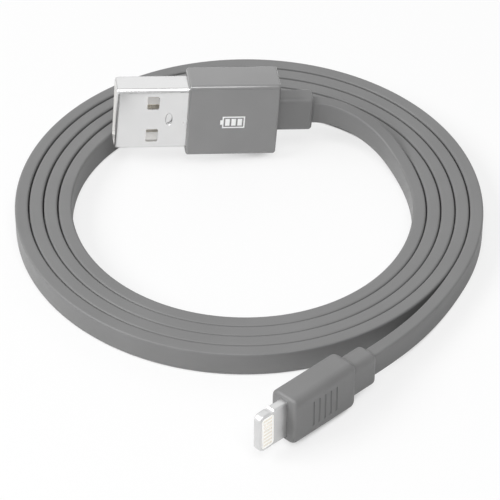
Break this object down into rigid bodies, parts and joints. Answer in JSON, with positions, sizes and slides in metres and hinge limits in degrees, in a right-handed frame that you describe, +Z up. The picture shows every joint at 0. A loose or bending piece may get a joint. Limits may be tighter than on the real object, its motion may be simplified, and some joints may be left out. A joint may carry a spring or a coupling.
{
  "type": "charging cable",
  "caption": "Flat grey ribbon charging cable, coiled on its edge, with a USB-A plug standing inside the coil and a slim reversible plug on a bent lead outside it.",
  "frame": {"origin": "centre of the coil, on the table the coil rests on", "axes": "+Z up along the coil axis; +X from the USB plug tip towards its cable; +Y away from the side where the small plug lies"},
  "size_m": [0.0767, 0.0949, 0.0164],
  "materials": {
    "cable_jacket": "satin grey TPE, extruded",
    "overmold": "fine matte grey TPE, moulded",
    "inner_mold": "natural polyethylene",
    "usb_steel": "bright nickel-plated sheet",
    "white_insulator": "moulded white plastic",
    "ivory_insulator": "moulded ivory plastic",
    "gold_plate": "gold-plated strip",
    "solder": "tin solder",
    "nickel_plate": "satin nickel plate",
    "tin_plate": "tin-plated sheet",
    "board_green": "green solder mask",
    "chip_black": "moulded package",
    "capacitor_tan": "ceramic",
    "resistor_black": "thick film",
    "wire_insulation": "extruded",
    "red_wire": "extruded",
    "white_wire": "extruded",
    "green_wire": "extruded",
    "black_wire": "extruded",
    "copper": "bare copper"
  },
  "bodies": {
    "coil": {"coil_jacket": "cable_jacket", "coil_red_insulation": "red_wire", "coil_white_insulation": "white_wire", "coil_green_insulation": "green_wire", "coil_black_insulation": "black_wire", "coil_red_core": "copper", "coil_white_core": "copper", "coil_green_core": "copper", "coil_black_core": "copper"},
    "device_lead_1": {"device_lead_jacket_1": "cable_jacket", "device_lead_insulation_1": "wire_insulation", "device_lead_core_1": "copper"},
    "device_lead_2": {"device_lead_jacket_2": "cable_jacket", "device_lead_insulation_2": "wire_insulation", "device_lead_core_2": "copper"},
    "device_lead_3": {"device_lead_jacket_3": "cable_jacket", "device_lead_insulation_3": "wire_insulation", "device_lead_core_3": "copper"},
    "usb_lead_1": {"usb_lead_jacket_1": "cable_jacket", "usb_lead_insulation_1": "wire_insulation", "usb_lead_core_1": "copper"},
    "usb_lead_2": {"usb_lead_jacket_2": "cable_jacket", "usb_lead_insulation_2": "wire_insulation", "usb_lead_core_2": "copper"},
    "usb_lead_3": {"usb_lead_jacket_3": "cable_jacket", "usb_lead_insulation_3": "wire_insulation", "usb_lead_core_3": "copper"},
    "device_plug": {"plug_blade_frame": "nickel_plate", "contact_carrier": "ivory_insulator", "front_contacts": "gold_plate", "back_contacts": "gold_plate", "circuit_board": "board_green", "controller_chip": "chip_black", "power_switch_chip": "chip_black", "board_capacitors": "capacitor_tan", "board_resistors": "resistor_black", "front_shield": "tin_plate", "back_shield": "tin_plate", "device_solder_joints": "solder", "device_inner_mold": "inner_mold", "device_overmold": "overmold", "device_boot": "overmold", "device_jacket_end": "cable_jacket", "device_wire_insulation": "wire_insulation", "device_wire_cores": "copper"},
    "usb_plug": {"usb_shell": "usb_steel", "usb_tongue": "white_insulator", "usb_power_contacts": "gold_plate", "usb_data_contacts": "gold_plate", "usb_solder_joints": "solder", "usb_inner_mold": "inner_mold", "usb_overmold": "overmold", "usb_boot": "overmold", "usb_jacket_end": "cable_jacket", "usb_wire_insulation": "wire_insulation", "usb_wire_cores": "copper"}
  },
  "joints": [
    {"name": "device_lead_bend", "type": "hinge", "parent": "coil", "child": "device_lead_1", "pos_m": [0.03225, -0.02024, 0.00215], "axis": [0, 0, 1], "range_deg": [-1.5, 30]},
    {"name": "device_lead_bend_middle", "type": "hinge", "parent": "device_lead_1", "child": "device_lead_2", "pos_m": [0.02693, -0.02785, 0.0023], "axis": [0, 0, 1], "range_deg": [-1.5, 30]},
    {"name": "device_lead_bend_end", "type": "hinge", "parent": "device_lead_2", "child": "device_lead_3", "pos_m": [0.02073, -0.03476, 0.00301], "axis": [0, 0, 1], "range_deg": [-1.5, 30]},
    {"name": "device_plug_twist", "type": "hinge", "parent": "device_lead_3", "child": "device_plug", "pos_m": [0.01373, -0.04088, 0.00392], "axis": [-0.7893, -0.61, 0.0698], "range_deg": [-45, 45]},
    {"name": "usb_lead_bend", "type": "hinge", "parent": "coil", "child": "usb_lead_1", "pos_m": [0.02822, -0.00364, 0.00215], "axis": [0, 0, 1], "range_deg": [0, 20]},
    {"name": "usb_lead_bend_middle", "type": "hinge", "parent": "usb_lead_1", "child": "usb_lead_2", "pos_m": [0.02735, 0.00621, 0.0027], "axis": [0, 0, 1], "range_deg": [0, 20]},
    {"name": "usb_lead_bend_end", "type": "hinge", "parent": "usb_lead_2", "child": "usb_lead_3", "pos_m": [0.02262, 0.01478, 0.00515], "axis": [0, 0, 1], "range_deg": [0, 20]},
    {"name": "usb_plug_twist", "type": "hinge", "parent": "usb_lead_3", "child": "usb_plug", "pos_m": [0.01355, 0.01827, 0.00762], "axis": [-0.9968, 0, 0.0802], "range_deg": [0, 45]}
  ],
  "couplings": [
    {"joint": "device_lead_bend_middle", "follows": "device_lead_bend", "ratio": 1},
    {"joint": "device_lead_bend_end", "follows": "device_lead_bend", "ratio": 1},
    {"joint": "usb_lead_bend_middle", "follows": "usb_lead_bend", "ratio": 1},
    {"joint": "usb_lead_bend_end", "follows": "usb_lead_bend", "ratio": 1}
  ]
}
